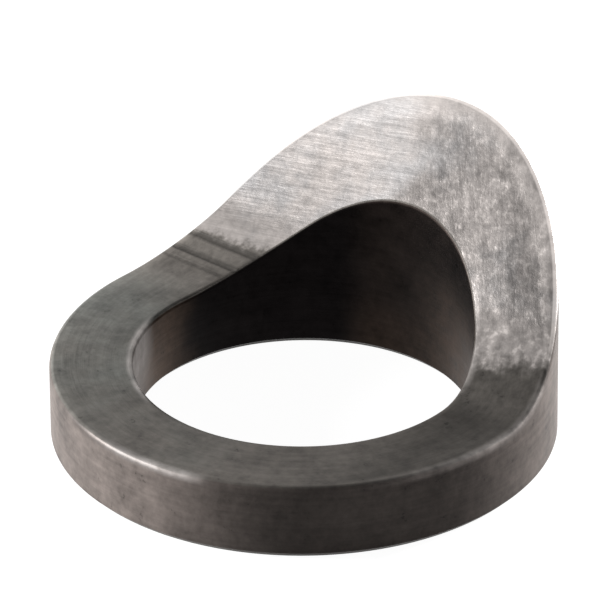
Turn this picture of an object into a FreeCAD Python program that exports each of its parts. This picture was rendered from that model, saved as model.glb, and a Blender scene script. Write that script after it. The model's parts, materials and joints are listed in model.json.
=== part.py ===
"""Sloped valve washer, one turned and milled steel piece.

A length of round tube is parted off, then milled so that its front is a flat ring and
its back rises as a straight slope with a round blend at the foot. The frame is in
millimetres: the bore's axis is Z, the base lies on Z = 0 and the tall side is at +Y.

The tube is padded in two lengths whose faces stay apart. The lower one is the seat, the
stretch of wall that closes all the way round the stem. It ends just below the round on
the ring's rim, and the wall above it stands only at the tall side.
"""
import FreeCAD, Part
import math
import os
import Sketcher

NODE = "washer"
SHEET = "Dimensions"

DRIVING_DIMENSIONS = [
    ("bore_diameter", 17.0, "clears the valve's stem"),
    ("wall_thickness", 4.2, "of the tube, bore to outside"),
    ("ring_thickness", 4.0, "base to the flat ring"),
    ("total_height", 13.4, "base to the rounded crest"),
    ("slope_angle", 49.0, "degrees from the flat ring to the slope"),
    ("blend_radius", 8.0, "concave round where the slope starts"),
    ("rim_radius", 0.25, "round on the milled face's rims"),
    ("base_bevel", 0.3, "bevel on the base's two edges"),
    ("stock_allowance", 1.5, "how far the cut runs past the tube"),
]

OUTER_RADIUS = f"({SHEET}.bore_diameter / 2 + {SHEET}.wall_thickness)"
BORE_RADIUS = f"({SHEET}.bore_diameter / 2)"
SEAT_TOP = f"({SHEET}.ring_thickness - 2 * {SHEET}.rim_radius)"
BLANK_TOP = f"({SHEET}.total_height + {SHEET}.stock_allowance)"
TOLERANCE = 1e-4


def add_sheet(doc):
    """Writes the driving dimensions as named cells, one a row."""
    sheet = doc.addObject("Spreadsheet::Sheet", SHEET)
    for row, (alias, value, note) in enumerate(DRIVING_DIMENSIONS, start=1):
        sheet.set(f"A{row}", note)
        sheet.set(f"B{row}", str(value))
        sheet.setAlias(f"B{row}", alias)
    doc.recompute()
    return sheet


def add_sketch(body, name, plane_role):
    """Adds a sketch on one of the body's own origin planes."""
    sketch = body.newObject("Sketcher::SketchObject", name)
    plane = next(item for item in body.Origin.OriginFeatures if item.Role == plane_role)
    sketch.AttachmentSupport = [(plane, "")]
    sketch.MapMode = "FlatFace"
    return sketch


def add_size(sketch, name, constraint, expression):
    """Adds a named constraint whose value follows the sheet."""
    index = sketch.addConstraint(constraint)
    sketch.renameConstraint(index, name)
    sketch.setExpression(f"Constraints.{name}", expression)


def wall_radii(sheet):
    """Radii of the outer wall and of the bore."""
    bore_radius = sheet.bore_diameter / 2
    return bore_radius + sheet.wall_thickness, bore_radius


def add_tube_length(body, sheet, name, start, end):
    """Pads one length of the tube, from one height to another."""
    section = add_sketch(body, f"{name}_section", "XY_Plane")
    section.setExpression(".AttachmentOffset.Base.z", start)
    for size, radius, expression in zip(("outer_radius", "bore_radius"), wall_radii(sheet),
                                        (OUTER_RADIUS, BORE_RADIUS)):
        circle = section.addGeometry(Part.Circle(FreeCAD.Vector(0, 0, 0), FreeCAD.Vector(0, 0, 1), radius))
        section.addConstraint(Sketcher.Constraint("Coincident", circle, 3, -1, 1))
        add_size(section, size, Sketcher.Constraint("Radius", circle, radius), expression)

    length = body.newObject("PartDesign::Pad", name)
    length.Profile = section
    length.setExpression("Length", f"{end} - {start}")
    length.Refine = False
    section.Visibility = False
    return length


def crest_height_expression():
    """Height at which slope and outer wall would meet if the rim were left sharp.

    The round on the rim lowers the crest, so the sharp corner stands above total_height.
    """
    angle = f"({SHEET}.slope_angle * 1 deg)"
    return f"{SHEET}.total_height + {SHEET}.rim_radius * ((1 + sin{angle}) / cos{angle} - 1)"


def add_slope_cut(body, sheet):
    """Mills the flat ring, the blend and the slope in one pass along X."""
    outer_radius, _ = wall_radii(sheet)
    slope = math.radians(sheet.slope_angle)
    side = -(outer_radius + sheet.stock_allowance)
    flat = sheet.ring_thickness
    ceiling = sheet.total_height + 2 * sheet.stock_allowance
    corner = outer_radius - (sheet.total_height - flat) / math.tan(slope)
    tangent = sheet.blend_radius * math.tan(slope / 2)
    blend_start = corner - tangent
    blend_end = corner + tangent * math.cos(slope)
    blend_top = flat + tangent * math.sin(slope)
    slope_end = corner + (ceiling - flat) / math.tan(slope)

    profile = add_sketch(body, "milled_profile", "YZ_Plane")

    def line(y0, z0, y1, z1):
        return profile.addGeometry(Part.LineSegment(FreeCAD.Vector(y0, z0, 0), FreeCAD.Vector(y1, z1, 0)))

    flat_line = line(side, flat, blend_start, flat)
    centre = FreeCAD.Vector(blend_start, flat + sheet.blend_radius, 0)
    circle = Part.Circle(centre, FreeCAD.Vector(0, 0, 1), sheet.blend_radius)
    quarter_turn = math.pi / 2
    blend = profile.addGeometry(Part.ArcOfCircle(circle, -quarter_turn, slope - quarter_turn))
    slope_line = line(blend_end, blend_top, slope_end, ceiling)
    ceiling_line = line(slope_end, ceiling, side, ceiling)
    side_line = line(side, ceiling, side, flat)
    crest = profile.addGeometry(Part.Point(FreeCAD.Vector(outer_radius, sheet.total_height, 0)), True)

    profile.addConstraint([
        Sketcher.Constraint("Tangent", flat_line, 2, blend, 1),
        Sketcher.Constraint("Tangent", blend, 2, slope_line, 1),
        Sketcher.Constraint("Coincident", slope_line, 2, ceiling_line, 1),
        Sketcher.Constraint("Coincident", ceiling_line, 2, side_line, 1),
        Sketcher.Constraint("Coincident", side_line, 2, flat_line, 1),
        Sketcher.Constraint("Horizontal", flat_line),
        Sketcher.Constraint("Horizontal", ceiling_line),
        Sketcher.Constraint("Vertical", side_line),
        Sketcher.Constraint("PointOnObject", crest, 1, slope_line),
    ])
    add_size(profile, "ring_thickness",
             Sketcher.Constraint("DistanceY", -1, 1, flat_line, 1, flat),
             f"{SHEET}.ring_thickness")
    add_size(profile, "side_reach",
             Sketcher.Constraint("DistanceX", flat_line, 1, -1, 1, -side),
             f"{OUTER_RADIUS} + {SHEET}.stock_allowance")
    add_size(profile, "ceiling_height",
             Sketcher.Constraint("DistanceY", -1, 1, ceiling_line, 1, ceiling),
             f"{SHEET}.total_height + 2 * {SHEET}.stock_allowance")
    add_size(profile, "blend_radius",
             Sketcher.Constraint("Radius", blend, sheet.blend_radius),
             f"{SHEET}.blend_radius")
    add_size(profile, "slope_angle",
             Sketcher.Constraint("Angle", slope_line, slope),
             f"{SHEET}.slope_angle * 1 deg")
    add_size(profile, "crest_reach",
             Sketcher.Constraint("DistanceX", -1, 1, crest, 1, outer_radius),
             OUTER_RADIUS)
    add_size(profile, "crest_height",
             Sketcher.Constraint("DistanceY", -1, 1, crest, 1, sheet.total_height),
             crest_height_expression())

    cut = body.newObject("PartDesign::Pocket", "slope_cut")
    cut.Profile = profile
    cut.Midplane = True
    cut.Refine = False
    cut.setExpression("Length", f"2 * ({OUTER_RADIUS} + {SHEET}.stock_allowance)")
    profile.Visibility = False
    return cut


def edges_round_walls(shape, sheet, lowest, highest):
    """Names of the edges that run round the outer wall or the bore between two heights.

    An edge counts by its middle. The straight seam of each wall is left out.
    """
    names = []
    for number, edge in enumerate(shape.Edges, start=1):
        if edge.Curve.TypeId == "Part::GeomLine":
            continue
        middle = edge.valueAt((edge.FirstParameter + edge.LastParameter) / 2)
        reach = math.hypot(middle.x, middle.y)
        on_wall = any(abs(reach - radius) < TOLERANCE for radius in wall_radii(sheet))
        if on_wall and lowest < middle.z < highest:
            names.append(f"Edge{number}")
    return names


def add_rim_round(body, sheet, cut, seat_top):
    """Rounds the milled face's outer and inner rims, which lie above the seat."""
    rim = body.newObject("PartDesign::Fillet", "rim_round")
    rim.Base = (cut, edges_round_walls(cut.Shape, sheet, seat_top + TOLERANCE, math.inf))
    rim.setExpression("Radius", f"{SHEET}.rim_radius")
    rim.Refine = False
    return rim


def add_base_bevel(body, sheet, rim):
    """Bevels the base's outer edge and the bore's mouth."""
    bevel = body.newObject("PartDesign::Chamfer", "base_bevel")
    bevel.Base = (rim, edges_round_walls(rim.Shape, sheet, -TOLERANCE, TOLERANCE))
    bevel.setExpression("Size", f"{SHEET}.base_bevel")
    bevel.Refine = False
    return bevel


def check_document(doc, body):
    """Stops if a feature failed or the solid isn't sound."""
    for item in doc.Objects:
        faults = [state for state in item.State if state in ("Invalid", "Error")]
        if faults:
            raise RuntimeError(f"{item.Name} is {', '.join(faults)}")
    shape = body.Shape
    if shape.isNull() or not shape.isValid() or len(shape.Solids) != 1:
        raise RuntimeError(f"{body.Label} is not one sound solid")


def main():
    doc = FreeCAD.newDocument("valve_washer")
    sheet = add_sheet(doc)
    body = doc.addObject("PartDesign::Body", NODE)
    body.Label = NODE

    seat = add_tube_length(body, sheet, "seat", "0", SEAT_TOP)
    upper_tube = add_tube_length(body, sheet, "upper_tube", SEAT_TOP, BLANK_TOP)
    doc.recompute()

    cut = add_slope_cut(body, sheet)
    doc.recompute()
    if not seat.Shape.Volume < cut.Shape.Volume < upper_tube.Shape.Volume:
        raise RuntimeError("the slope cut removed nothing, or too much")

    rim = add_rim_round(body, sheet, cut, seat.Shape.BoundBox.ZMax)
    doc.recompute()
    bevel = add_base_bevel(body, sheet, rim)
    body.Tip = bevel
    doc.recompute()

    check_document(doc, body)
    os.makedirs("parts", exist_ok=True)
    body.Shape.exportStep(f"parts/{NODE}.step")
    box = body.Shape.BoundBox
    print(f"{NODE}: {box.XLength:.3f} x {box.YLength:.3f} x {box.ZLength:.3f} mm, "
          f"volume {body.Shape.Volume:.1f} mm3, {len(body.Shape.Faces)} faces")


main()
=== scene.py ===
"""Sloped valve washer: one turned ring with a bright milled slope and a dark heat-treated skin.

Everything is in metres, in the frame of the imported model: the bore's axis is Z, the base
lies on Z = 0 and the tall side is at +Y.
"""
import json
import math
from collections import namedtuple

import bmesh
import bpy
from bpy.props import FloatProperty, FloatVectorProperty, IntProperty, PointerProperty
from mathutils import Matrix, Vector


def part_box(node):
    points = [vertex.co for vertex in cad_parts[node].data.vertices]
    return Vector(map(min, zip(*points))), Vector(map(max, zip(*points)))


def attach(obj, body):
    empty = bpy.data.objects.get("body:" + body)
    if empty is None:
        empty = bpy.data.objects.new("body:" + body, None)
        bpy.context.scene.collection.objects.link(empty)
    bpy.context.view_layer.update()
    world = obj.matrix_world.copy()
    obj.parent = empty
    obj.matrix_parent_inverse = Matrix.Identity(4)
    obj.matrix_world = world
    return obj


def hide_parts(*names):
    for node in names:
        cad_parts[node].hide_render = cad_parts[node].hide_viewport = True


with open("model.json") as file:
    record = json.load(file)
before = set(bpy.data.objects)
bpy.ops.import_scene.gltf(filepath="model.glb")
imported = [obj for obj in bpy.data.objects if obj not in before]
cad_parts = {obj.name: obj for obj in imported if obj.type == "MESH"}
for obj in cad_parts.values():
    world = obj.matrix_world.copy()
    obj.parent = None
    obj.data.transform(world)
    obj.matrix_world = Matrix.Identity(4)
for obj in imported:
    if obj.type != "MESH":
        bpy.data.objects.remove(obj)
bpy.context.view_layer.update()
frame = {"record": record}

bl_info = {
    "name": "Valve washer",
    "version": (1, 0, 0),
    "blender": (4, 5, 0),
    "location": "3D View > Sidebar > Washer",
    "description": "Models a sloped valve washer, its steel finish and a small studio",
    "category": "Add Mesh",
}

NODE = "washer"
BODY = "root"
PIECE = "sloped_washer"
_, NODE_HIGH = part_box(NODE)
BORE_MOUNT = next(mount for mount in frame["record"]["mounts"] if mount["name"] == "bore")
BORE_RADIUS = BORE_MOUNT["dims"]["r_mm"] / 1000

# Places nearer to each other than this count as one
NEAR = 1e-6

# Edges flatter than this are shaded smooth
SMOOTH_ANGLE = math.radians(22)

# Keeps the floor just clear of the base
FLOOR_GAP = 0.00002

# The bore's left and right ends, as the camera sees it, lie this far round from the X axis towards Y; a
# brown sheen is painted there
SHEEN_TURN = math.radians(41.3)

# Scores at the slope's foot: place past the foot line and depth in metres, and how dark the painted shade
# along it is
Score = namedtuple("Score", "place depth stain")
SCORES = (
    Score(place=0.00045, depth=0.00003, stain=1.0),
    Score(place=-0.00050, depth=0.00004, stain=1.0),
    Score(place=-0.00110, depth=0.00002, stain=0.4),
)


class WasherSizes(bpy.types.PropertyGroup):
    """Sizes of the washer, in metres and radians."""
    outer_radius: FloatProperty(
        name="Outer radius", description="Radius of the turned outside",
        default=NODE_HIGH.x, min=0.001, unit="LENGTH", precision=5)
    bore_radius: FloatProperty(
        name="Bore radius", description="Radius of the plain bore",
        default=BORE_RADIUS, min=0.001, unit="LENGTH", precision=5)
    total_height: FloatProperty(
        name="Total height", description="Base to the rounded crest",
        default=NODE_HIGH.z, min=0.001, unit="LENGTH", precision=5)
    ring_thickness: FloatProperty(
        name="Ring thickness", description="Base to the flat ring",
        default=0.004, min=0.001, unit="LENGTH", precision=5)
    slope_angle: FloatProperty(
        name="Slope angle", description="Angle from the flat ring up to the slope",
        default=math.radians(49.0), min=0.1, max=1.4, unit="ROTATION")
    blend_radius: FloatProperty(
        name="Blend radius", description="Concave round where the slope starts",
        default=0.008, min=0.001, unit="LENGTH", precision=5)
    rim_radius: FloatProperty(
        name="Rim radius", description="Round on the milled face's two rims",
        default=0.00025, min=0.00005, unit="LENGTH", precision=5)
    base_bevel: FloatProperty(
        name="Base bevel", description="Bevel on the base's two edges",
        default=0.0003, min=0.00005, unit="LENGTH", precision=5)
    segments: IntProperty(
        name="Segments", description="Faces round the washer", default=720, min=96, max=1440)


class WasherColours(bpy.types.PropertyGroup):
    """Colours of the steel's finishes, and of the painted sheen in the bore and the painted highlight on
    the rims.
    """
    ring_skin: FloatVectorProperty(
        name="Ring", description="Dark skin on the flat ring",
        subtype="COLOR", default=(0.208, 0.190, 0.172), min=0.0, max=1.0)
    ring_patina: FloatVectorProperty(
        name="Ring patina", description="Greener clouds in the ring's skin",
        subtype="COLOR", default=(0.195, 0.200, 0.186), min=0.0, max=1.0)
    wall_skin: FloatVectorProperty(
        name="Outer wall", description="Browner skin on the turned outside",
        subtype="COLOR", default=(0.160, 0.136, 0.124), min=0.0, max=1.0)
    bore_skin: FloatVectorProperty(
        name="Bore", description="Nearly black skin inside the bore",
        subtype="COLOR", default=(0.006, 0.005, 0.005), min=0.0, max=1.0)
    # Painted sheen: this brown stands in for light on the bore's walls at its two ends
    bore_painted_sheen: FloatVectorProperty(
        name="Bore ends", description="Browner skin at the bore's two sides",
        subtype="COLOR", default=(0.073, 0.049, 0.036), min=0.0, max=1.0)
    milled_steel: FloatVectorProperty(
        name="Milled steel", description="Bare metal of the slope",
        subtype="COLOR", default=(0.364, 0.353, 0.351), min=0.0, max=1.0)
    milled_warm: FloatVectorProperty(
        name="Milled steel, warm", description="Warmer clouds in the slope's metal",
        subtype="COLOR", default=(0.374, 0.344, 0.328), min=0.0, max=1.0)
    # Bare metal rubbed on the rims, which also carries a painted highlight on the outer rim and a painted
    # sheen on the bore's rim
    rim_wear_and_highlight: FloatVectorProperty(
        name="Worn rim", description="Bare metal where a rim is rubbed",
        subtype="COLOR", default=(0.430, 0.400, 0.385), min=0.0, max=1.0)


class StageSettings(bpy.types.PropertyGroup):
    """Floor and lights."""
    floor_colour: FloatVectorProperty(
        name="Floor", description="Plain pale floor",
        subtype="COLOR", default=(0.30, 0.30, 0.30), min=0.0, max=1.0)
    floor_white: FloatProperty(
        name="Floor white", description="How white the floor stays in its own shadow",
        default=0.965, min=0.0, max=1.0)
    key_power: FloatProperty(
        name="Key light", description="Power of the soft light on the left, in watts",
        default=0.71, min=0.0)
    edge_power: FloatProperty(
        name="Edge light", description="Power of the soft light behind on the right, in watts",
        default=0.75, min=0.0)
    room_light: FloatProperty(
        name="Room light", description="Strength of the even light from all round",
        default=0.06, min=0.0)


# Modelling helpers


def select_nothing():
    """Leaves edit mode and deselects every object, as the loaded frame comes in selected."""
    if bpy.context.object is not None and bpy.context.object.mode != "OBJECT":
        bpy.ops.object.mode_set(mode="OBJECT")
    bpy.ops.object.select_all(action="DESELECT")


def work_on(piece):
    """Makes a piece the only selected one, in object mode."""
    select_nothing()
    piece.select_set(True)
    bpy.context.view_layer.objects.active = piece


def pick_edges(test):
    """Selects the edited piece's edges whose two ends both pass a test."""
    bpy.ops.mesh.select_mode(type="EDGE")
    bpy.ops.mesh.select_all(action="DESELECT")
    mesh = bpy.context.object.data
    form = bmesh.from_edit_mesh(mesh)
    for edge in form.edges:
        edge.select_set(all(test(corner.co) for corner in edge.verts))
    form.select_flush_mode()
    bmesh.update_edit_mesh(mesh)


def reach(point):
    """Distance of a point from the bore's axis."""
    return math.hypot(point.x, point.y)


def apply_all(piece):
    """Applies every modifier of a piece, in order."""
    work_on(piece)
    for modifier in list(piece.modifiers):
        bpy.ops.object.modifier_apply(modifier=modifier.name)


def lay_on(piece, sheet, group):
    """Drops the vertices of a group straight down onto a sheet."""
    wrap = piece.modifiers.new("lay_on", "SHRINKWRAP")
    wrap.target = sheet
    wrap.wrap_method = "PROJECT"
    wrap.use_project_z = True
    wrap.use_positive_direction = True
    wrap.use_negative_direction = True
    wrap.vertex_group = group
    apply_all(piece)


def discard(piece):
    """Removes a helper piece and its mesh."""
    mesh = piece.data
    bpy.data.objects.remove(piece)
    bpy.data.meshes.remove(mesh)


# The milled face


def foot_line(sizes):
    """Place, across the washer, where the slope's plane would meet the flat ring."""
    angle = sizes.slope_angle
    rounding = sizes.rim_radius * ((1 + math.sin(angle)) / math.cos(angle) - 1)
    rise = sizes.total_height + rounding - sizes.ring_thickness
    return sizes.outer_radius - rise / math.tan(angle)


def blend_centre(sizes):
    """Y and Z of the line that the concave round turns about."""
    tangent = sizes.blend_radius * math.tan(sizes.slope_angle / 2)
    return foot_line(sizes) - tangent, sizes.ring_thickness + sizes.blend_radius


def milled_sheet(sizes):
    """The surface that the cutter leaves, as a sheet: flat, concave round and slope.

    The flat plane's far edge is spun up round the blend's centre and then drawn up the
    slope.
    """
    angle = sizes.slope_angle
    margin = 1.3 * sizes.outer_radius
    run = 2 * sizes.outer_radius
    blend_steps = 96
    blend_y, blend_z = blend_centre(sizes)

    select_nothing()
    bpy.ops.mesh.primitive_plane_add(size=2 * margin, location=(0, 0, sizes.ring_thickness))
    sheet = bpy.context.object
    sheet.name = "milled_sheet"
    bpy.ops.object.transform_apply(location=True, rotation=True, scale=True)
    bpy.ops.object.mode_set(mode="EDIT")
    pick_edges(lambda point: point.y > 0)
    bpy.ops.transform.translate(value=(0, blend_y - margin, 0))
    bpy.ops.mesh.spin(steps=blend_steps, angle=angle, axis=(-1, 0, 0), center=(0, blend_y, blend_z))
    bpy.ops.mesh.extrude_region_move(
        TRANSFORM_OT_translate={"value": (0, run * math.cos(angle), run * math.sin(angle))})
    bpy.ops.object.mode_set(mode="OBJECT")
    if max(corner.co.y for corner in sheet.data.vertices) < sizes.outer_radius:
        raise RuntimeError("the milled sheet turned the wrong way")
    return sheet


def blank_ring(sizes):
    """A flat ring of rows above the washer, from the outer rim in to the bore's rim.

    The first row at each rim is wide enough to take the rim's round later.
    """
    outer_band = 3.6 * sizes.rim_radius
    inner_band = 1.8 * sizes.rim_radius
    outer_row = sizes.outer_radius - outer_band
    inner_row = sizes.bore_radius + inner_band
    rows = 14
    radii = [outer_row + (inner_row - outer_row) * step / rows for step in range(rows + 1)]
    above = 2 * sizes.total_height

    select_nothing()
    bpy.ops.mesh.primitive_circle_add(vertices=sizes.segments, radius=sizes.outer_radius,
                                      fill_type="NOTHING", location=(0, 0, above))
    ring = bpy.context.object
    ring.name = PIECE
    bpy.ops.object.transform_apply(location=True, rotation=True, scale=True)
    bpy.ops.object.mode_set(mode="EDIT")
    bpy.ops.mesh.select_mode(type="EDGE")
    bpy.ops.mesh.select_all(action="SELECT")
    last = sizes.outer_radius
    for radius in radii + [sizes.bore_radius]:
        shrink = radius / last
        bpy.ops.mesh.extrude_region_move()
        bpy.ops.transform.resize(value=(shrink, shrink, 1), center_override=(0, 0, above))
        last = radius
    bpy.ops.object.mode_set(mode="OBJECT")
    group = ring.vertex_groups.new(name="milled")
    group.add([corner.index for corner in ring.data.vertices], 1.0, "REPLACE")
    return ring


def add_walls(sizes):
    """Draws the outer wall and the bore down from the rims, then the base between them."""
    bevel = sizes.base_bevel
    for radius, base_radius in ((sizes.outer_radius, sizes.outer_radius - bevel),
                                (sizes.bore_radius, sizes.bore_radius + bevel)):
        pick_edges(lambda point: abs(reach(point) - radius) < NEAR)
        bpy.ops.mesh.extrude_region_move()
        bpy.ops.transform.resize(value=(1, 1, 0), center_override=(0, 0, bevel))
        bpy.ops.mesh.extrude_region_move()
        narrow = base_radius / radius
        bpy.ops.transform.resize(value=(narrow, narrow, 0), center_override=(0, 0, 0))
    pick_edges(lambda point: abs(point.z) < NEAR)
    bpy.ops.mesh.bridge_edge_loops()
    bpy.ops.mesh.select_all(action="SELECT")
    bpy.ops.mesh.normals_make_consistent(inside=False)


def bevel_rims(piece, lowest, sharpest, width, segments):
    """Bevels the edges above a height that are sharper than an angle.

    Each edge's width comes from its own angle, so that the round keeps one radius where
    the rim turns from square at the ring to acute at the crest.
    """
    mesh = piece.data
    form = bmesh.new()
    form.from_mesh(mesh)
    widths = {}
    for edge in form.edges:
        if min(corner.co.z for corner in edge.verts) > lowest and edge.is_manifold:
            angle = edge.calc_face_angle()
            if angle > sharpest:
                widths[edge.index] = width(angle)
    form.free()
    widest = max(widths.values())
    weights = mesh.attributes.get("bevel_weight_edge")
    if weights is None:
        weights = mesh.attributes.new(name="bevel_weight_edge", type="FLOAT", domain="EDGE")
    for index, item in enumerate(weights.data):
        item.value = widths.get(index, 0.0) / widest
    rounding = piece.modifiers.new("rim", "BEVEL")
    rounding.limit_method = "WEIGHT"
    rounding.offset_type = "OFFSET"
    rounding.width = widest
    rounding.segments = segments
    rounding.use_clamp_overlap = False
    apply_all(piece)


def round_rims(piece, sizes):
    """Rounds the milled face's rims: a flat bevel first, and then a round on its two edges.

    The second rounds stop just short of each other, so that no two of their edges meet.
    """
    radius = sizes.rim_radius
    lowest = 2 * sizes.base_bevel
    sharp_rim = math.radians(30)
    bevelled_rim = math.radians(12)
    short_of_full = 0.98
    bevel_rims(piece, lowest, sharp_rim, segments=1,
               width=lambda angle: radius * (math.tan(angle / 2) - math.tan(angle / 4)))
    bevel_rims(piece, lowest, bevelled_rim, segments=3,
               width=lambda angle: short_of_full * radius * math.tan(angle / 2))


def cut_score(piece, sizes, score):
    """Cuts one shallow score at the foot, from the bore out at -X, with a thin rod."""
    rod_radius = 0.00035
    blend_y, blend_z = blend_centre(sizes)
    lean = math.asin((foot_line(sizes) + score.place - blend_y) / sizes.blend_radius)
    drop = sizes.blend_radius - rod_radius + score.depth
    select_nothing()
    bpy.ops.mesh.primitive_cylinder_add(
        vertices=48, radius=rod_radius, depth=sizes.outer_radius, rotation=(0, math.pi / 2, 0),
        location=(-sizes.outer_radius, blend_y + drop * math.sin(lean), blend_z - drop * math.cos(lean)))
    rod = bpy.context.object
    cut = piece.modifiers.new("score", "BOOLEAN")
    cut.operation = "DIFFERENCE"
    cut.solver = "EXACT"
    cut.object = rod
    apply_all(piece)
    discard(rod)


def keep_flats_flat(piece):
    """Turns the shading at each round's edges to its large neighbours, so that those look flat."""
    weighting = piece.modifiers.new("weighting", "WEIGHTED_NORMAL")
    weighting.mode = "FACE_AREA"
    weighting.keep_sharp = True
    apply_all(piece)


# Materials


class Value:
    """A socket in an expression: arithmetic on it adds Math nodes to its tree."""

    def __init__(self, tree, socket):
        self.tree = tree
        self.socket = socket

    def __add__(self, other):
        return self.tree.math("ADD", self, other)

    def __radd__(self, other):
        return self.tree.math("ADD", other, self)

    def __sub__(self, other):
        return self.tree.math("SUBTRACT", self, other)

    def __rsub__(self, other):
        return self.tree.math("SUBTRACT", other, self)

    def __mul__(self, other):
        return self.tree.math("MULTIPLY", self, other)

    def __rmul__(self, other):
        return self.tree.math("MULTIPLY", other, self)

    def __truediv__(self, other):
        return self.tree.math("DIVIDE", self, other)

    def __pow__(self, other):
        return self.tree.math("POWER", self, other)

    def __abs__(self):
        return self.tree.math("ABSOLUTE", self)

    def larger(self, other):
        """The larger of this and another number, point by point."""
        return self.tree.math("MAXIMUM", self, other)

    def step(self, start, end):
        """0 up to start and 1 from end on, smooth between them. Start may be the larger."""
        smooth = {"interpolation_type": "SMOOTHSTEP"}
        return self.tree.add("ShaderNodeMapRange", smooth,
                             {"Value": self, "From Min": start, "From Max": end})["Result"]


class Tree:
    """The node tree of a material or of the world."""

    def __init__(self, owner):
        owner.use_nodes = True
        self.owner = owner
        self.nodes = owner.node_tree.nodes
        self.links = owner.node_tree.links
        self.nodes.clear()

    def add(self, kind, settings=None, sockets=None):
        """Adds a node: its settings first, then the values or links of its sockets.

        Gives its outputs by name.
        """
        node = self.nodes.new(kind)
        for name, setting in (settings or {}).items():
            setattr(node, name, setting)
        for name, term in (sockets or {}).items():
            if isinstance(name, int):
                socket = node.inputs[name]
            else:
                socket = next(item for item in node.inputs if item.name == name and item.enabled)
            if isinstance(term, Value):
                self.links.new(term.socket, socket)
            elif socket.type == "RGBA":
                socket.default_value = (*term, 1.0)
            else:
                socket.default_value = term
        return {item.name: Value(self, item) for item in node.outputs if item.enabled}

    def math(self, operation, *terms):
        """One Math node, whose terms are numbers or links."""
        return self.add("ShaderNodeMath", {"operation": operation}, dict(enumerate(terms)))["Value"]

    def mix(self, share, first, second):
        """First colour where share is 0, second where it is 1."""
        return self.add("ShaderNodeMix", {"data_type": "RGBA"},
                        {"Factor": share, "A": first, "B": second})["Result"]

    def blend(self, share, first, second):
        """First number where share is 0, second where it is 1."""
        return self.add("ShaderNodeMix", {"data_type": "FLOAT"},
                        {"Factor": share, "A": first, "B": second})["Result"]

    def scaled(self, vector, factor):
        """A colour made lighter or darker, or a place moved out, by a number."""
        return self.add("ShaderNodeVectorMath", {"operation": "SCALE"},
                        {"Vector": vector, "Scale": factor})["Vector"]

    def point(self, x, y, z):
        """A point from three numbers."""
        return self.add("ShaderNodeCombineXYZ", {}, {"X": x, "Y": y, "Z": z})["Vector"]

    def noise(self, where, size=1.0, detail=2.0, roughness=0.5):
        """Noise whose spots are about a size across: -1 to 1, and 0 on average."""
        sockets = {"Vector": where, "Scale": 1 / size, "Detail": detail, "Roughness": roughness}
        return self.add("ShaderNodeTexNoise", {"noise_dimensions": "3D"}, sockets)["Fac"] * 2 - 1

    def seen(self):
        """1 for what the camera sees, straight or in a reflection, and 0 for even light."""
        rays = self.add("ShaderNodeLightPath")
        direct = rays["Is Camera Ray"].larger(rays["Is Glossy Ray"])
        return direct.larger(rays["Is Transmission Ray"])


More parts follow.
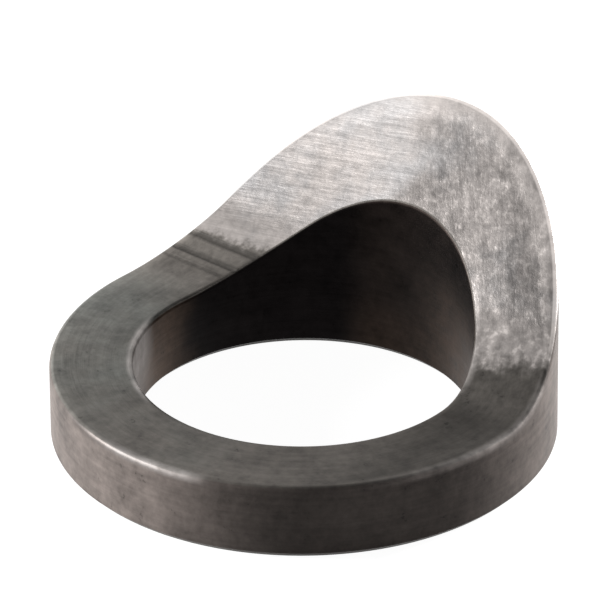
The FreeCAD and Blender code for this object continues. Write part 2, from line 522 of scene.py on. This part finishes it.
class Steel(Tree):
    """Dark skin on ring, wall and bore, and bright metal where the cutter passed.

    Every length in it is in millimetres. A mask is 1 where its finish shows and 0 elsewhere,
    and a pattern varies between -1 and 1. The left is the -X side and the right is +X.
    """

    def __init__(self, sizes, colours):
        super().__init__(bpy.data.materials.new("steel_finish"))
        self.colours = colours
        self.measure(sizes)
        self.lay_patterns()
        self.part_zones()
        shader = self.add("ShaderNodeBsdfPrincipled", {}, {
            "Base Color": self.colour(),
            "Roughness": self.roughness(),
            "Metallic": self.milled.larger(self.wear_and_highlight).larger(self.bored),
            "Specular IOR Level": 0.10,
            "Normal": self.relief(),
        })
        self.add("ShaderNodeOutputMaterial", {}, {"Surface": shader["BSDF"]})

    def measure(self, sizes):
        """Places on the washer, each from its own zero line.

        turn is the angle round from the low side towards the right. inset is measured in from
        the outer wall and outset out from the bore, and across is 0 at the bore and 1 at the
        outer wall. bore_end is -1 and 1 at the bore's two ends, where a brown sheen is painted. past_foot
        is measured along Y from the foot line, up_slope along the slope from there, and depth down from
        the milled face.
        """
        outer = 1000 * sizes.outer_radius
        bore = 1000 * sizes.bore_radius
        self.place = self.scaled(self.add("ShaderNodeTexCoord")["Object"], 1000)
        axes = self.add("ShaderNodeSeparateXYZ", {}, {"Vector": self.place})
        self.x, self.y, self.z = axes["X"], axes["Y"], axes["Z"]
        self.turn = self.math("ARCTAN2", self.x, 0 - self.y)
        self.radius = (self.x * self.x + self.y * self.y) ** 0.5
        self.inset = outer - self.radius
        self.outset = self.radius - bore
        self.across = self.outset / (outer - bore)
        self.bore_end = (self.x * math.cos(SHEEN_TURN) + self.y * math.sin(SHEEN_TURN)) / bore
        self.below_ring = 1000 * sizes.ring_thickness - self.z
        self.past_foot = self.y - 1000 * foot_line(sizes)
        angle = sizes.slope_angle
        self.up_slope = self.past_foot * math.cos(angle) - self.below_ring * math.sin(angle)
        self.below_slope = self.past_foot * math.sin(angle) + self.below_ring * math.cos(angle)

        # Depth is taken from the blend's round, and past it from the slope's plane
        blend_y, blend_z = (1000 * centre for centre in blend_centre(sizes))
        blend_radius = 1000 * sizes.blend_radius
        past_blend = (self.y - blend_y).larger(0.0)
        drop = blend_z - self.z
        below_blend = (past_blend * past_blend + drop * drop) ** 0.5 - blend_radius
        on_slope = self.math("GREATER_THAN", self.up_slope, blend_radius * math.tan(angle / 2))
        self.depth = self.blend(on_slope, below_blend, self.below_slope)

    def lay_patterns(self):
        """Clouds, spots, grain and the streaks of turning, milling and rubbing."""
        self.cloud = self.noise(self.place, 4.0)
        self.blotches = self.noise(self.place, 2.2, 1.0)
        self.spots = self.noise(self.place, 0.9, 3.0, 0.6)
        self.flecks = self.noise(self.place, 0.42, 2.0, 0.6)
        self.grain = self.noise(self.place, 0.24, 3.0, 0.7)
        turning = self.point(self.radius * 4.0, self.z * 4.0, self.turn * 1.6)
        self.turning = self.noise(turning, 1.0, 4.0, 0.65)
        tilted = self.up_slope - self.x * 0.18
        self.milling = self.noise(self.point(self.x * 0.3, tilted * 3.0, self.below_slope), 1.0, 4.0, 0.65)
        self.leaning = self.x + self.up_slope * 0.58
        rubbing = self.point(self.leaning * 1.8, self.up_slope * 0.45, self.below_slope)
        self.rubbing = self.noise(rubbing, 1.0, 4.0, 0.65)

    def part_zones(self):
        """Masks: which finish shows where."""
        self.bored = self.outset.step(0.09, 0.03)
        self.turned = self.inset.step(0.12, 0.04)
        # The slope's right side: rubbed, and painted darker than the left as painted reflection
        self.rubbed_side = (self.x + self.cloud * 1.8).step(-2.4, 0.4)
        self.scored = self.score_lines()
        self.milled = self.above_foot() * self.within_rims() * (1 - 0.5 * self.scored)
        self.wear_and_highlight = self.rim_wear_and_highlights()

    def above_foot(self):
        """The bright face's ragged foot: level on the left, lower inside than outside on the right."""
        left = 0.9 - 0.2 * self.across
        right = 1.25 * self.across - 0.1
        foot = self.blend(self.x.step(-4.0, 4.0), left, right)
        fray = self.spots * 0.55 + self.flecks * 0.3 + self.rubbing * self.rubbed_side * 0.5
        soft = 0.25 + 0.35 * self.rubbed_side
        return (self.past_foot - foot + fray).step(0 - soft, soft)

    def within_rims(self):
        """Bare metal, down to its end on the rims' rounds: a hair at the bore, more at the outside."""
        outside = 0.06 + 0.28 * self.up_slope.step(0.0, 7.0)
        down = self.blend(self.across.step(0.1, 0.9), 0.02, outside)
        down = down - 0.09 * self.outset.step(0.13, 0.05)
        return (down - self.depth).step(-0.03, 0.02)

    def score_lines(self):
        """Painted shade along the scores, on the flat face of the bright side only."""
        wander = self.cloud * 0.06 + self.spots * 0.05
        lines = 0.0
        for score in SCORES:
            distance = abs(self.past_foot - score.place * 1000 + wander)
            lines = distance.step(0.26, 0.10) * score.stain + lines
        on_face = (1 - self.turned) * (1 - self.bored) * (1 - self.rubbed_side)
        return lines * on_face * (0.85 + 0.4 * self.spots)

    def rim_wear_and_highlights(self):
        """Rubbed rims, partly real wear and partly painted highlight: outside at the low end, placed where
        the highlight falls, faintly at the right, and a painted sheen on the bore's rim at its two ends.
        """
        # Painted highlight over real wear: this band sits where the highlight on the low end's rim falls
        low_end = self.turn.step(-0.36, -0.08) * self.turn.step(0.36, 0.22)
        right_side = 0.40 * self.turn.step(0.8, 1.5)
        outer_rim = (self.inset + self.depth).step(0.50, 0.16) * low_end.larger(right_side)

        # Painted sheen on the bore's rim at its two ends
        left_end = (self.bore_end + self.spots * 0.02).step(-0.875, -0.955)
        right_end = 0.45 * self.bore_end.step(0.88, 0.97) * self.below_ring.step(1.6, 0.3)
        bore_rim = self.outset.step(0.5, 0.2) * self.below_ring.step(4.5, 0.0)
        bore_rim = 0.88 * bore_rim * left_end.larger(right_end)

        patchy = (0.80 + 0.8 * self.spots).larger(0.0)
        return outer_rim.larger(bore_rim) * patchy * self.past_foot.step(1.0, 0.0)

    def colour(self):
        """Skin, bare metal over it, and the rubbed rims with their painted highlight over both; that
        highlight is dimmed most at the low end's left, where the key light's own highlight is strongest.
        """
        colour = self.mix(self.milled, self.skin(), self.bare_metal())
        highlight_dimming = (0.55 - 0.42 * self.turn.step(-0.12, 0.20)) * self.inset.step(2.0, 1.0)
        return self.mix(self.wear_and_highlight, colour, self.scaled(self.colours.rim_wear_and_highlight, 1 - highlight_dimming))

    def skin(self):
        """The heat-treated skin, mottled and pitted, with painted shade along the scores."""
        skin = self.mix(self.turned, self.ring_skin(), self.wall_skin())
        skin = self.mix(self.bored, skin, self.bore_skin())
        mottle = 1 + 0.16 * self.cloud + 0.40 * self.blotches + 0.42 * self.spots
        mottle = mottle + 0.34 * self.turning + 0.36 * self.flecks
        pits = self.spots.step(-0.25, -0.38) * self.grain.step(0.0, 0.2)
        return self.scaled(skin, mottle * (1 - 0.4 * pits) * (1 - 0.55 * self.scored))

    def ring_skin(self):
        """Brown with greener clouds away from the foot. Darker to the right and in patches at the far
        right as painted shade, and darker in patches near the slope's foot.
        """
        green_clouds = (self.cloud * 0.5 - self.x * 0.04 + 0.22).step(0.0, 1.0)
        patina = green_clouds * self.past_foot.step(-1.0, -6.0)
        ring = self.mix(patina, self.colours.ring_skin, self.colours.ring_patina)
        # Painted shade: the ring darkens to the right, away from the key light
        ring = self.scaled(ring, 1.02 - 0.032 * self.x - 0.08 * self.x.step(4.0, 9.0))

        # Darker patches at the far right, painted shade like the line above, and darker patches near the
        # slope's foot
        far_right = (self.x + self.cloud * 2.0).step(8.0, 10.5) * self.past_foot.step(-1.5, -4.0)
        right_foot = 0.5 * self.past_foot.step(-1.6, -0.4) * self.rubbed_side
        left_foot = 0.8 * self.past_foot.step(-3.4, -1.2) * (1 - self.rubbed_side)
        stain = far_right.larger(right_foot).larger(left_foot)
        stain = stain * self.inset.step(0.15, 0.7) * (1 + self.blotches)
        return self.scaled(ring, 1 - 0.43 * stain)

    def wall_skin(self):
        """Brown, with painted light at the far right and in a patch at the low end, and painted shade to
        that patch's right.
        """
        far_right = self.x.step(6.0, 11.0)
        low_patch = (self.turn + 0.1 * self.cloud).step(-0.5, -0.1) * self.turn.step(0.34, 0.06)
        dim_patch = self.turn.step(0.10, 0.36) * self.turn.step(1.0, 0.5)
        tone = 1 + 0.16 * far_right + 0.22 * low_patch - 0.13 * dim_patch
        return self.scaled(self.colours.wall_skin, tone)

    def bore_skin(self):
        """Nearly black, with a painted brown sheen at the left end and a fainter one low on the right half
        and end.
        """
        left_end = (self.bore_end + 0.08 * self.blotches + 0.04 * self.spots).step(-0.60, -0.92)
        right_half = self.bore_end.step(0.2, 0.45) * (0.08 + 0.17 * self.z.step(3.6, 1.0))
        right_end = 0.42 * self.bore_end.step(0.6, 1.0) * self.z.step(7.0, 3.0)
        brown = left_end.larger(right_half + right_end)
        return self.mix(brown, self.colours.bore_skin, self.colours.bore_painted_sheen)

    def bare_metal(self):
        """Milled steel, warmer in clouds, on the rubbed side and near the foot, with painted reflection in
        its tone and painted shade along the scores.
        """
        tone = self.blend(self.rubbed_side, self.bright_tone(), self.rubbed_side_tone()) + self.burnish_and_highlight()
        warmth = self.cloud + 0.5 * self.spots + 0.4 * self.rubbed_side + 0.6 * self.up_slope.step(5.0, 2.0)
        tint = self.mix(warmth.step(-0.5, 0.5), self.colours.milled_steel, self.colours.milled_warm)
        return self.scaled(tint, tone * (1 - 0.35 * self.scored))

    def bright_tone(self):
        """The left of the slope: streaked by the cutter, and lighter at its foot and towards its top as
        painted reflection.
        """
        up = self.up_slope
        inner = self.across.step(0.8, 0.2) * up.step(4.0, 6.0)
        tone = 0.62 + 0.28 * up.step(4.6, 9.0) + 0.48 * up.step(3.8, 0.8) + 0.05 * inner
        return tone * (0.97 + 0.34 * self.milling + 0.30 * self.spots + 0.24 * self.flecks)

    def rubbed_side_tone(self):
        """The right of the slope: rubbed and speckled, with a light and a dark streak that lean, darker
        than the left and lighter at the foot and towards the top as painted reflection.
        """
        up = self.up_slope
        light_streak = self.leaning.step(6.4, 7.6) * self.leaning.step(10.4, 8.8) * up.step(10.5, 7.0)
        dark_streak = self.leaning.step(9.4, 10.6) * self.leaning.step(12.4, 11.6)
        tone = 0.38 + 0.14 * up.step(4.0, 8.5) + 0.37 * up.step(5.2, 1.5)
        tone = tone + 0.15 * light_streak - 0.08 * dark_streak
        bright_flecks = self.flecks.step(0.05, 0.45) * (0.5 + self.spots)
        speckled = 0.92 + 0.50 * self.rubbing + 0.54 * self.spots + 0.40 * self.flecks
        return tone * (speckled + 0.60 * bright_flecks)

    def burnish_and_highlight(self):
        """What rubbing and a painted highlight add to the slope near its outer rim, most of all the
        painted highlight on the rim's round.
        """
        beside_rim = self.inset.step(1.4, 0.4) * self.up_slope.step(2.0, 9.0)
        left = 0.06 + 0.60 * self.x.step(-8.0, -2.5)
        right = 0.38 + 0.5 * self.spots
        burnish_and_highlight = beside_rim * self.blend(self.x.step(0.0, 6.0), left, right)
        # Painted highlight on the outer rim's round
        on_round = self.depth.step(0.0, 0.03) * self.across.step(0.4, 0.6) * self.up_slope.step(1.0, 5.0)
        return burnish_and_highlight + on_round * (1.4 - 0.5 * self.rubbed_side)

    def roughness(self):
        """Satin, finer on the bare metal and coarser on the rubbed rims."""
        satin = self.blend(self.milled, 0.46 + 0.1 * self.spots, 0.35 + 0.08 * self.grain)
        return self.blend(self.wear_and_highlight, satin, 0.58)

    def relief(self):
        """The fine roughness of each finish, as a normal."""
        skin = 0.3 * self.turning + 0.18 * self.grain + 0.12 * self.spots
        metal = self.blend(self.rubbed_side, 0.4 * self.milling + 0.12 * self.grain,
                           0.35 * self.rubbing + 0.3 * self.grain)
        height = self.blend(self.milled, skin, metal)
        bump = self.add("ShaderNodeBump", {}, {"Strength": 0.4, "Distance": 0.00005, "Height": height})
        return bump["Normal"]


def floor_finish(stage):
    """Pale floor that keeps its shadow and shows white to the camera and to the metal."""
    tree = Tree(bpy.data.materials.new("floor_finish"))
    shader = tree.add("ShaderNodeBsdfPrincipled", {}, {
        "Base Color": tuple(stage.floor_colour),
        "Roughness": 0.9,
        "Specular IOR Level": 0.0,
        "Emission Color": tree.scaled((1.0, 1.0, 1.0), tree.seen()),
        "Emission Strength": stage.floor_white,
    })
    tree.add("ShaderNodeOutputMaterial", {}, {"Surface": shader["BSDF"]})
    return tree.owner


# Operators


class WASHER_OT_make_washer(bpy.types.Operator):
    """Models the washer in steel and puts it in the frame in place of the plain one"""
    bl_idname = "washer.make_washer"
    bl_label = "Make washer"

    def execute(self, context):
        sizes = context.scene.washer_sizes
        sheet = milled_sheet(sizes)
        piece = blank_ring(sizes)
        lay_on(piece, sheet, "milled")
        discard(sheet)

        work_on(piece)
        bpy.ops.object.mode_set(mode="EDIT")
        add_walls(sizes)
        bpy.ops.object.mode_set(mode="OBJECT")
        round_rims(piece, sizes)
        for score in SCORES:
            cut_score(piece, sizes, score)

        work_on(piece)
        bpy.ops.object.shade_smooth_by_angle(angle=SMOOTH_ANGLE)
        keep_flats_flat(piece)
        piece.data.materials.append(Steel(sizes, context.scene.washer_colours).owner)
        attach(piece, BODY)
        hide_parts(NODE)
        return {"FINISHED"}


class WASHER_OT_make_stage(bpy.types.Operator):
    """Adds the floor, the even white surroundings, two soft lights and the camera"""
    bl_idname = "washer.make_stage"
    bl_label = "Make stage"

    def execute(self, context):
        stage = context.scene.washer_stage
        select_nothing()
        bpy.ops.mesh.primitive_plane_add(size=2.0, location=(0, 0, -FLOOR_GAP))
        floor = context.object
        floor.name = "floor"
        bpy.ops.object.transform_apply(location=True, rotation=True, scale=True)
        floor.data.materials.append(floor_finish(stage))

        add_softbox("key_light", azimuth=-54.0, elevation=10.0, power=stage.key_power)
        add_softbox("edge_light", azimuth=169.0, elevation=12.0, power=stage.edge_power)
        add_surroundings(context.scene, stage.room_light)
        add_camera(context.scene)
        context.scene.view_settings.view_transform = "Standard"
        return {"FINISHED"}


def direction(azimuth, elevation):
    """Unit vector to a place round the object: azimuth 0 is at -Y, 90 at +X, in degrees."""
    turn = math.radians(azimuth)
    rise = math.radians(elevation)
    return Vector((math.sin(turn) * math.cos(rise), -math.cos(turn) * math.cos(rise), math.sin(rise)))


def add_softbox(name, azimuth, elevation, power):
    """A square area light that faces the middle of the washer."""
    middle = Vector((0, 0, 0.006))
    distance = 0.20
    width = 0.08
    back = direction(azimuth, elevation)
    bpy.ops.object.light_add(type="AREA", location=middle + distance * back,
                             rotation=back.to_track_quat("Z", "Y").to_euler())
    light = bpy.context.object
    light.name = name
    light.data.shape = "SQUARE"
    light.data.size = width
    light.data.energy = power


def add_surroundings(scene, room_light):
    """White all round for the camera and for reflections, and a dimmer even light."""
    tree = Tree(bpy.data.worlds.new("surroundings"))
    white = tree.scaled((1.0, 1.0, 1.0), tree.seen().larger(room_light))
    background = tree.add("ShaderNodeBackground", {}, {"Color": white, "Strength": 1.0})
    tree.add("ShaderNodeOutputWorld", {}, {"Surface": background["Background"]})
    scene.world = tree.owner


def add_camera(scene):
    """A long lens above the washer, between its low end and its right side, as in the photograph."""
    azimuth = 41.3
    elevation = 30.37
    distance = 0.3810
    lens = 443.8
    roll = math.radians(-0.46)
    aim_right = 0.000239
    aim_height = 0.006863
    place = distance * direction(azimuth, elevation)
    aim = aim_right * direction(azimuth + 90, 0) + Vector((0, 0, aim_height))
    turn = (place - aim).to_track_quat("Z", "Y").to_matrix() @ Matrix.Rotation(roll, 3, "Z")
    bpy.ops.object.camera_add(location=place, rotation=turn.to_euler())
    camera = bpy.context.object
    camera.name = "camera"
    camera.data.lens = lens
    camera.data.sensor_width = 36.0
    camera.data.clip_start = 0.01
    camera.data.clip_end = 10.0
    scene.camera = camera


class VIEW3D_PT_washer(bpy.types.Panel):
    """The washer's sizes, colours and stage in the sidebar"""
    bl_label = "Valve washer"
    bl_space_type = "VIEW_3D"
    bl_region_type = "UI"
    bl_category = "Washer"

    def draw(self, context):
        layout = self.layout
        for settings, operator in ((context.scene.washer_sizes, None),
                                   (context.scene.washer_colours, WASHER_OT_make_washer),
                                   (context.scene.washer_stage, WASHER_OT_make_stage)):
            box = layout.box()
            for name in settings.__annotations__:
                box.prop(settings, name)
            if operator is not None:
                box.operator(operator.bl_idname)


CLASSES = (
    WasherSizes,
    WasherColours,
    StageSettings,
    WASHER_OT_make_washer,
    WASHER_OT_make_stage,
    VIEW3D_PT_washer,
)


def register():
    """Registers the classes and hangs the settings on the scene."""
    for item in CLASSES:
        bpy.utils.register_class(item)
    bpy.types.Scene.washer_sizes = PointerProperty(type=WasherSizes)
    bpy.types.Scene.washer_colours = PointerProperty(type=WasherColours)
    bpy.types.Scene.washer_stage = PointerProperty(type=StageSettings)


def unregister():
    """Takes the settings and the classes out again."""
    del bpy.types.Scene.washer_stage
    del bpy.types.Scene.washer_colours
    del bpy.types.Scene.washer_sizes
    for item in reversed(CLASSES):
        bpy.utils.unregister_class(item)


def main():
    register()
    bpy.ops.washer.make_washer()
    bpy.ops.washer.make_stage()
    bpy.context.view_layer.update()


if __name__ == "__main__":
    main()
